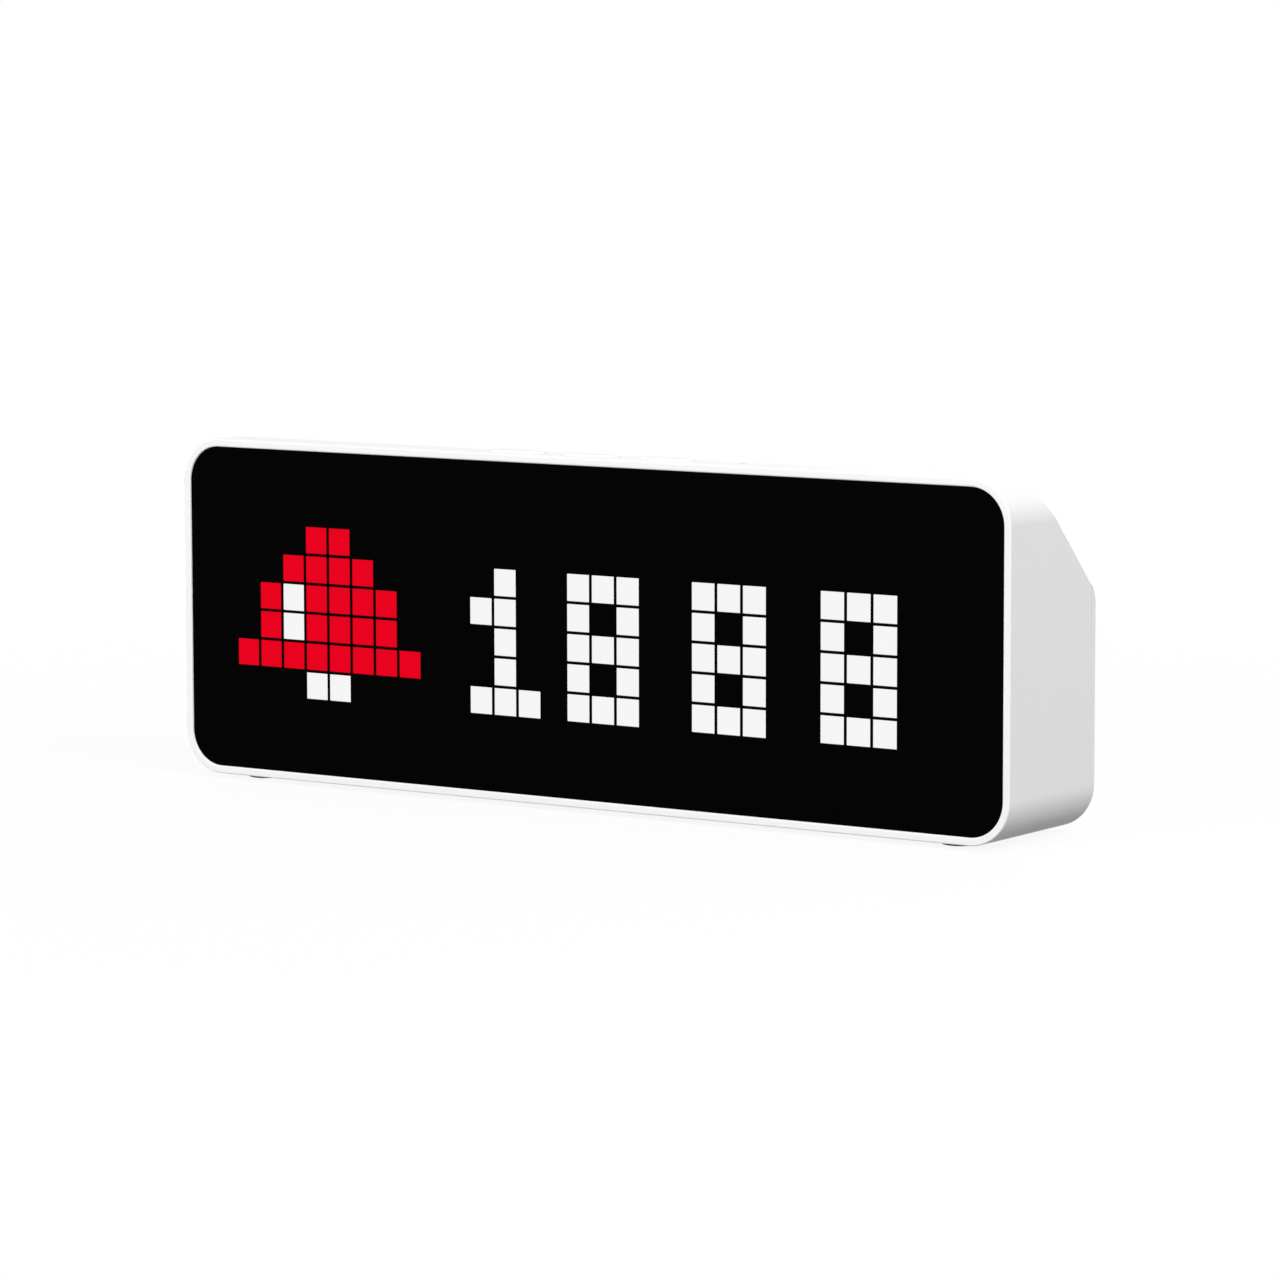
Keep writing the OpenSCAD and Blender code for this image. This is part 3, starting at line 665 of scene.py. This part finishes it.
# case: a rounded sleeve with a sloped shoulder behind its flat top
coverScrews = {"side": 96.1 * mm, "heights": (13.0 * mm, 40.0 * mm)}
footSetup = {"radius": 4.0 * mm, "steps": 48, "lowerEdge": 0.8 * mm, "edgeSteps": 8}
caseSetup = {
    "cornerRadius": 9.0 * mm,
    "cornerSteps": 32,
    "wall": 1.6 * mm,
    "topFlat": 8.6 * mm,
    "slope": (0.0, 1.0, 1.0),
    "frontEdge": 0.28 * mm,
    "slopeEdge": 0.2 * mm,
    "edgeSteps": 4,
    "seamEdge": 0.05 * mm,
    "seamSteps": 2,
    "seamFill": 0.06 * mm,
    "holeLip": 0.12 * mm,
    "holeSteps": 40,
    "buttonHole": {"radius": 2.15 * mm, "stretch": 8.2 * mm},
    "guideHole": {"radius": 1.05 * mm, "stretch": 0.0},
    "footPocket": {"radius": 4.05 * mm, "stretch": 0.0},
    "pocketDepth": 0.6 * mm,
    "sunk": 0.4 * mm,
    "postSteps": 32,
    "coverPost": {"radius": 3.0 * mm, "bore": 1.05 * mm, "length": 9.0 * mm},
    "buttonPost": {"radius": 2.2 * mm, "bore": 1.05 * mm, "side": 30.0 * mm},
    "boardBlock": {"width": 7.0 * mm, "side": 75.0 * mm, "gap": 0.1 * mm},
    "panelRail": {"length": 182.6 * mm, "height": 2.0 * mm, "depth": 1.0 * mm},
}


def caseHoles(setup, height):
    holes = []
    for name in ("left_button", "middle_button", "right_button", "light_guide"):
        spot = middleOf(name)
        hole = setup["guideHole" if name == "light_guide" else "buttonHole"]
        holes.append((hole, Vector((spot.x, spot.y, height)), flat))
    return holes


def footSpots():
    low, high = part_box("rubber_feet")
    inset = footSetup["radius"]
    return [Vector((across, deep, high.z)) for across in (low.x + inset, high.x - inset)
            for deep in (low.y + inset, high.y - inset)]


# posts, blocks and rails that hold the boards, the panel and the cover
def addInnerSupports(shape, setup):
    low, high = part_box("main_shell")
    sunk = setup["sunk"]
    floor = low.z + setup["wall"]
    roof = high.z - setup["wall"]
    block = setup["boardBlock"]
    rail = setup["panelRail"]
    post = setup["coverPost"]
    for side in (-1, 1):
        for height in coverScrews["heights"]:
            start = Vector((side * coverScrews["side"], high.y, height))
            addTube(shape, start, Vector((0, -post["length"], 0)), post, setup["postSteps"])
        foot = Vector((side * setup["buttonPost"]["side"], middleOf("button_screws").y, roof + sunk))
        rise = Vector((0, 0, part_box("button_board")[1].z - foot.z))
        addTube(shape, foot, rise, setup["buttonPost"], setup["postSteps"])
        for start, end in ((floor - sunk, gridLow.z - block["gap"]),
                           (gridHigh.z + block["gap"], roof + sunk)):
            middle = side * block["side"]
            addBlock(shape, (middle - block["width"] / 2, gridLow.y, start),
                     (middle + block["width"] / 2, gridHigh.y, end))
    for start, end in ((floor - sunk, floor + rail["height"]), (roof - rail["height"], roof + sunk)):
        addBlock(shape, (-rail["length"] / 2, gridLow.y, start),
                 (rail["length"] / 2, gridLow.y + rail["depth"], end))


# the closed block, cut by the slope and hollowed from both ends
def startSleeve(setup, low, high):
    shape = bmesh.new()
    roundedFace(shape, low, high, setup["cornerRadius"], setup["cornerSteps"])
    thicken(shape, shape.faces[:], (0, high.y - low.y, 0))
    cut = bmesh.ops.bisect_plane(shape, geom=shape.verts[:] + shape.edges[:] + shape.faces[:],
                                 plane_co=(0, low.y + setup["topFlat"], high.z),
                                 plane_no=setup["slope"], clear_outer=True)
    bmesh.ops.edgeloop_fill(shape, edges=[part for part in cut["geom_cut"]
                                          if isinstance(part, bmesh.types.BMEdge)])
    bmesh.ops.recalc_face_normals(shape, faces=shape.faces)
    ends = [face for face in shape.faces if abs(face.normal.y) > modelSetup["straight"]]
    bmesh.ops.delete(shape, geom=ends, context="FACES_ONLY")
    bmesh.ops.solidify(shape, geom=shape.faces[:], thickness=setup["wall"])
    bmesh.ops.recalc_face_normals(shape, faces=shape.faces)
    return shape


def softenSleeve(shape, setup, low, high):
    shoulder = low.y + setup["topFlat"] + high.z
    front = sharpEdges(shape, lambda spot: spot.y < low.y + near)
    softenEdges(shape, front, setup["frontEdge"], setup["edgeSteps"])
    bend = sharpEdges(shape, lambda spot: abs(spot.y + spot.z - shoulder) < near)
    softenEdges(shape, bend, setup["slopeEdge"], setup["edgeSteps"])
    seam = sharpEdges(shape, lambda spot: spot.y > high.y - near)
    softenEdges(shape, seam, setup["seamEdge"], setup["seamSteps"])
    for vert in shape.verts:
        vert.co.x = min(max(vert.co.x, low.x), high.x)  # keeps the bevels inside the sides


def makeCase(setup):
    low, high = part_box("main_shell")
    high.y += setup["seamFill"]
    wall = setup["wall"]
    shape = startSleeve(setup, low, high)
    softenSleeve(shape, setup, low, high)
    tops = largePlates(shape, 2, high.z - 2 * wall)
    punchHoles(shape, tops, caseHoles(setup, high.z), setup["holeLip"],
               Vector((0, 0, -wall)), setup["holeSteps"])
    base = max((face for face in shape.faces if face.calc_center_median().z < low.z + near),
               key=lambda face: face.calc_area())
    pockets = [(setup["footPocket"], Vector((spot.x, spot.y, low.z)), flat) for spot in footSpots()]
    punchHoles(shape, [base], pockets, setup["holeLip"], Vector((0, 0, setup["pocketDepth"])),
               setup["holeSteps"])
    addOutward(shape, addInnerSupports, setup)
    finishPiece(shape, "caseSleeve", "white_case", "clock_case", ["main_shell"])


makeCase(caseSetup)
print("case made")


# rear cover: a plate that bends forward into the slope
coverSetup = {
    "cornerRadius": 9.0 * mm,
    "cornerSteps": 32,
    "thick": 1.6 * mm,
    "bendLength": 2.07 * mm,
    "bendSteps": 18,
    "edge": 0.15 * mm,
    "edgeSteps": 4,
    "holeLip": 0.2 * mm,
    "holeSteps": 48,
    "socket": {"radius": 1.68 * mm, "stretch": 5.78 * mm},
    "power": {"radius": 3.25 * mm, "stretch": 0.0},
    "screw": {"radius": 1.85 * mm, "stretch": 0.0},
    "vent": {"radius": 0.7 * mm, "stretch": 7.6 * mm, "count": 6, "step": 3.6 * mm, "middle": 8 * mm},
    "boardPost": {"radius": 2.5 * mm, "bore": 1.05 * mm, "side": 58.0 * mm, "rise": 7.0 * mm},
    "postSteps": 32,
    "sunk": 0.4 * mm,
    "lip": {"inset": 1.7 * mm, "thick": 1.2 * mm, "depth": 2.0 * mm, "cornerRadius": 7.3 * mm,
            "cornerSteps": 24, "postRoom": 6.5 * mm},
}


def coverHoles(setup, backDepth):
    socket = middleOf("usb_shell")
    power = middleOf("power_button")
    holes = [(setup["socket"], socket.x, socket.z, lyingBack),
             (setup["power"], power.x, power.z, lyingBack)]
    for side in (-1, 1):
        for height in coverScrews["heights"]:
            holes.append((setup["screw"], side * coverScrews["side"], height, lyingBack))
    vent = setup["vent"]
    for index in range(vent["count"]):
        across = vent["middle"] + (index - (vent["count"] - 1) / 2) * vent["step"]
        holes.append((vent, across, socket.z, upright))
    return [(hole, Vector((across, backDepth, height)), facing)
            for hole, across, height, facing in holes]


def addBoardPosts(shape, setup, inside):
    post = setup["boardPost"]
    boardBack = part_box("main_board")[1].y
    reach = Vector((0, inside + setup["sunk"] - boardBack, 0))
    for side in (-1, 1):
        for rise in (-post["rise"], post["rise"]):
            start = Vector((side * post["side"], boardBack, middleOf("main_board").z + rise))
            addTube(shape, start, reach, post, setup["postSteps"])


# lip inside the case wall, with room for the case's posts
def addLip(shape, setup, inside):
    low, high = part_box("rear_cover")
    halfWay = middleOf("rear_cover").z
    lip = setup["lip"]
    room = lip["postRoom"] / 2
    lowPost, highPost = coverScrews["heights"]
    before = set(shape.faces)
    roundedFace(shape, Vector((low.x + lip["inset"], inside + setup["sunk"], low.z + lip["inset"])),
                Vector((high.x - lip["inset"], inside, highPost - room)),
                lip["cornerRadius"], lip["cornerSteps"], halfWay)
    sheet = [face for face in shape.faces if face not in before]
    ring = bmesh.ops.inset_region(shape, faces=sheet, thickness=lip["thick"], use_boundary=True,
                                  use_even_offset=True)["faces"]
    across = [face for face in ring if abs(face.calc_center_median().x) < near
              and face.calc_center_median().z > halfWay]
    bmesh.ops.delete(shape, geom=sheet + across, context="FACES")
    ring = [face for face in ring if face.is_valid]
    for height in (lowPost - room, lowPost + room):
        parts = dict.fromkeys(part for face in ring for part in face.edges[:] + face.verts[:])
        cut = bmesh.ops.bisect_plane(shape, geom=ring + list(parts), plane_co=(0, 0, height),
                                     plane_no=(0, 0, 1))
        ring = [part for part in cut["geom"] if isinstance(part, bmesh.types.BMFace)]
    passed = [face for face in ring if abs(face.calc_center_median().z - lowPost) < room]
    ring = [face for face in ring if face not in passed]
    bmesh.ops.delete(shape, geom=passed, context="FACES")
    thicken(shape, ring, (0, -lip["depth"] - setup["sunk"], 0))


def makeCover(setup):
    low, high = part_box("rear_cover")
    thick = setup["thick"]
    ridge = high.z - thick
    inside = high.y - thick
    shape = bmesh.new()
    roundedFace(shape, Vector((low.x, high.y, low.z)), Vector((high.x, high.y, ridge)),
                setup["cornerRadius"], setup["cornerSteps"], middleOf("rear_cover").z)
    moved = thicken(shape, shape.faces[:], (0, -thick, 0))
    raised = [vert for vert in moved if vert.co.z > ridge - near]
    bmesh.ops.translate(shape, vec=(0, 0, thick), verts=raised)
    bend = [edge for edge in shape.edges
            if all(vert.co.y > high.y - near and vert.co.z > ridge - near for vert in edge.verts)]
    softenEdges(shape, bend, setup["bendLength"], setup["bendSteps"])
    bmesh.ops.recalc_face_normals(shape, faces=shape.faces)
    softenEdges(shape, sharpEdges(shape), setup["edge"], setup["edgeSteps"])
    bmesh.ops.recalc_face_normals(shape, faces=shape.faces)
    punchHoles(shape, largePlates(shape, 1, low.y), coverHoles(setup, high.y), setup["holeLip"],
               Vector((0, -thick, 0)), setup["holeSteps"])
    addOutward(shape, addBoardPosts, setup, inside)
    addOutward(shape, addLip, setup, inside)
    finishPiece(shape, "backCover", "white_case", "clock_case", ["rear_cover"])


makeCover(coverSetup)
print("rear cover made")


# display: one smoked sheet with an opening for each lit pixel, and the lit pixels in it
displaySetup = {
    "rimFill": 0.13 * mm,
    "cornerRadius": 7.43 * mm,
    "cornerSteps": 24,
    "windowGap": 0.55 * mm,
    "pixelGap": 0.65 * mm,
    "pixelEdge": 0.15 * mm,
    "edgeSteps": 2,
}


def litCells(node):
    left, bottom = pixelSetup["start"]
    across, up = pixelSetup["pitch"]
    cells = {(math.floor((vert.co.x - left) / across), math.floor((vert.co.z - bottom) / up))
             for vert in nodes[node].data.vertices}
    return [(left + (column + 0.5) * across, bottom + (row + 0.5) * up)
            for column, row in sorted(cells)]


def makeSheet(setup):
    low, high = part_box("front_panel")
    spread = Vector((setup["rimFill"], 0, setup["rimFill"]))
    shape = bmesh.new()
    roundedFace(shape, low - spread, high + spread, setup["cornerRadius"], setup["cornerSteps"])
    edges = shape.edges[:]
    bmesh.ops.delete(shape, geom=shape.faces[:], context="FACES_ONLY")
    width, height = [step - setup["windowGap"] for step in pixelSetup["pitch"]]
    for across, up in litCells("white_pixels") + litCells("red_pixels"):
        window = circleLoop(shape, (across, low.y, up), height / math.sqrt(2), width - height,
                            lyingBack, 4)  # four steps make a rectangle
        edges += edgesOf(window)
    fillFlat(shape, edges)
    thicken(shape, shape.faces[:], (0, high.y - low.y, 0))
    bmesh.ops.recalc_face_normals(shape, faces=shape.faces)
    finishPiece(shape, "smokedFront", "black_panel", "clock_case", ["front_panel", "unlit_pixels"])


def makePixels(setup, name, node, slot):
    low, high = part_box(node)
    shape = bmesh.new()
    width, height = [step - setup["pixelGap"] for step in pixelSetup["pitch"]]
    for across, up in litCells(node):
        addBlock(shape, (across - width / 2, low.y, up - height / 2),
                 (across + width / 2, high.y, up + height / 2))
    rims = [edge for edge in shape.edges if all(vert.co.y < low.y + near for vert in edge.verts)]
    softenEdges(shape, rims, setup["pixelEdge"], setup["edgeSteps"])
    finishPiece(shape, name, slot, "clock_case", [node])


makeSheet(displaySetup)
makePixels(displaySetup, "whiteTiles", "white_pixels", "white_pixel")
makePixels(displaySetup, "redTiles", "red_pixels", "red_pixel")
print("display made")


# push buttons with rounded tops and holding ears, and a dished power button
buttonSetup = {
    "radius": 1.9 * mm,
    "stretch": 8.2 * mm,
    "steps": 64,
    "topEdge": 0.45 * mm,
    "edgeSteps": 5,
    "ear": (14.9 * mm, 1.9 * mm, 0.8 * mm),
    "powerRadius": 3.0 * mm,
    "flangeRadius": 4.45 * mm,
    "flange": 0.8 * mm,
    "flangeGap": 0.1 * mm,
    "stemRadius": 1.5 * mm,
    "dishRim": 0.3 * mm,
    "dish": 0.28 * mm,
    "dishSteps": 8,
}


def makeTopButton(setup, node, name, body):
    low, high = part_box(node)
    spot = middleOf(node)
    shape = bmesh.new()
    circleLoop(shape, (spot.x, spot.y, low.z), setup["radius"], setup["stretch"], flat,
               setup["steps"], True)
    moved = thicken(shape, shape.faces[:], (0, 0, high.z - low.z))
    softenEdges(shape, edgesOf(moved), setup["topEdge"], setup["edgeSteps"])
    length, width, thick = setup["ear"]
    addBlock(shape, (spot.x - length / 2, spot.y - width / 2, low.z),
             (spot.x + length / 2, spot.y + width / 2, low.z + thick))
    bmesh.ops.recalc_face_normals(shape, faces=shape.faces)
    finishPiece(shape, name, "white_button", body, [node])


# a shallow bowl, sunk ring by ring
def addDish(shape, crown, radius, setup):
    count = setup["dishSteps"]
    bmesh.ops.inset_region(shape, faces=[crown], thickness=setup["dishRim"])
    step = (radius - setup["dishRim"]) / count
    for index in range(count - 1):
        bmesh.ops.inset_region(shape, faces=[crown], thickness=step)
        drop = setup["dish"] * (2 * (count - index) - 1) / count ** 2
        bmesh.ops.translate(shape, vec=(0, -drop, 0), verts=crown.verts)


def makePowerButton(setup):
    low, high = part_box("power_button")
    spot = middleOf("power_button")
    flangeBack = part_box("rear_cover")[1].y - coverSetup["thick"] - setup["flangeGap"]
    flangeFront = flangeBack - setup["flange"]
    shape = bmesh.new()
    for radius, start, end in ((setup["stemRadius"], low.y, flangeFront),
                               (setup["flangeRadius"], flangeFront, flangeBack),
                               (setup["powerRadius"], flangeBack, high.y)):
        head = addRod(shape, Vector((spot.x, start, spot.z)), Vector((0, end - start, 0)),
                      radius, setup["steps"])
    softenEdges(shape, edgesOf(head), setup["topEdge"], setup["edgeSteps"])  # the last rod's end
    crown = max(shape.faces, key=lambda face: min(vert.co.y for vert in face.verts))
    addDish(shape, crown, setup["powerRadius"] - setup["topEdge"], setup)
    bmesh.ops.recalc_face_normals(shape, faces=shape.faces)
    finishPiece(shape, "powerCap", "white_button", "power_push", ["power_button"])


for side in ("left", "middle", "right"):
    makeTopButton(buttonSetup, side + "_button", side + "Cap", side + "_push")
makePowerButton(buttonSetup)
print("buttons made")


# feet: moulded pads with a rounded lower edge
def makeFeet(setup):
    low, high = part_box("rubber_feet")
    shape = bmesh.new()
    for spot in footSpots():
        moved = addRod(shape, spot, Vector((0, 0, low.z - high.z)), setup["radius"], setup["steps"])
        softenEdges(shape, edgesOf(moved), setup["lowerEdge"], setup["edgeSteps"])
    bmesh.ops.recalc_face_normals(shape, faces=shape.faces)
    finishPiece(shape, "footPads", "dark_rubber", "clock_case", ["rubber_feet"])


makeFeet(footSetup)
print("feet made")
